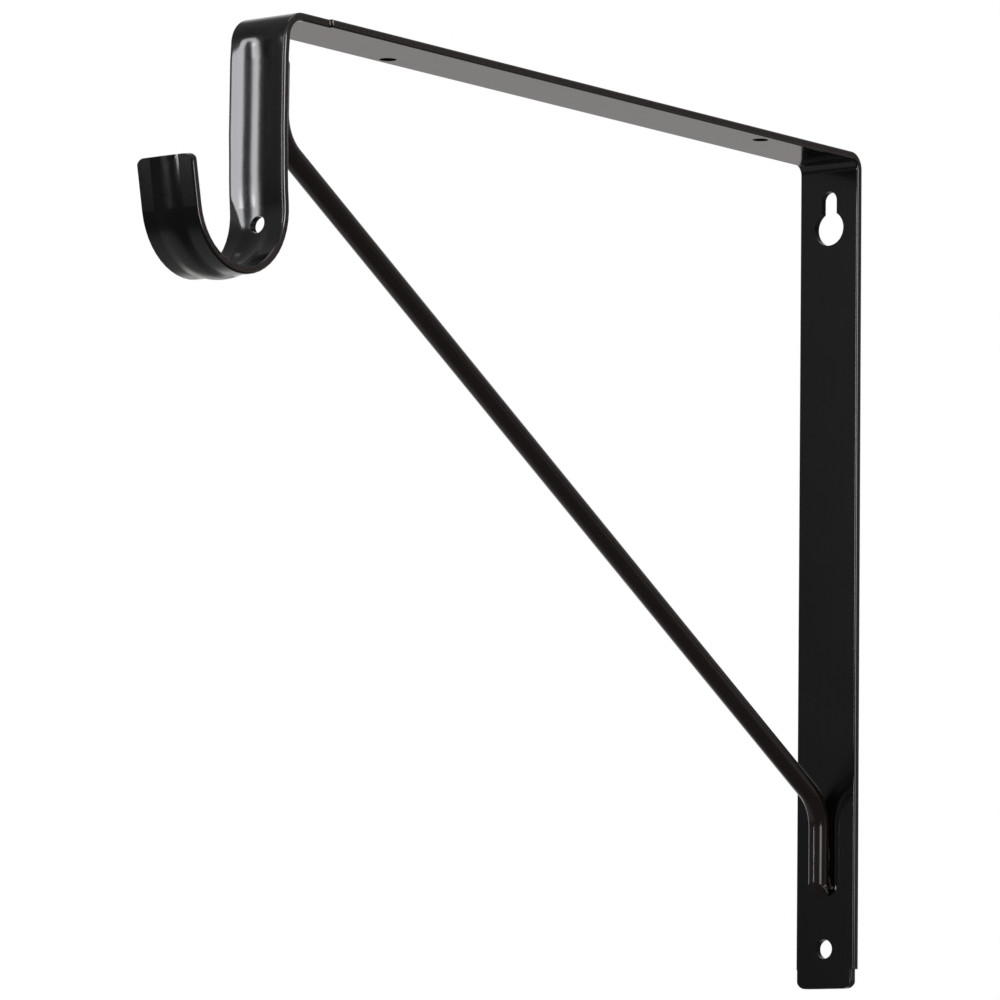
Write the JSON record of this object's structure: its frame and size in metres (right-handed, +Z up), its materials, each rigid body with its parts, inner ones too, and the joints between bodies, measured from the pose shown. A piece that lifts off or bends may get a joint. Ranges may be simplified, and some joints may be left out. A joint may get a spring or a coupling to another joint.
{
  "type": "closet rod shelf bracket",
  "caption": "Black steel shelf bracket folded from a flat strip, with a round diagonal brace and a J-shaped hook that carries a closet rod below the shelf front.",
  "frame": {"origin": "centre of the keyhole's round entry on the wall plane, in the middle of the strip's width", "axes": "+Z up, +Y into the wall, -Y out into the room along the shelf arm, X across the strip"},
  "size_m": [0.0222, 0.3266, 0.264],
  "materials": {
    "strip_paint": "semi-gloss black paint over steel strip",
    "brace_paint": "semi-gloss black paint over drawn steel rod"
  },
  "bodies": {
    "root": {"bracket_strip": "strip_paint", "brace_rod": "brace_paint"}
  },
  "joints": []
}
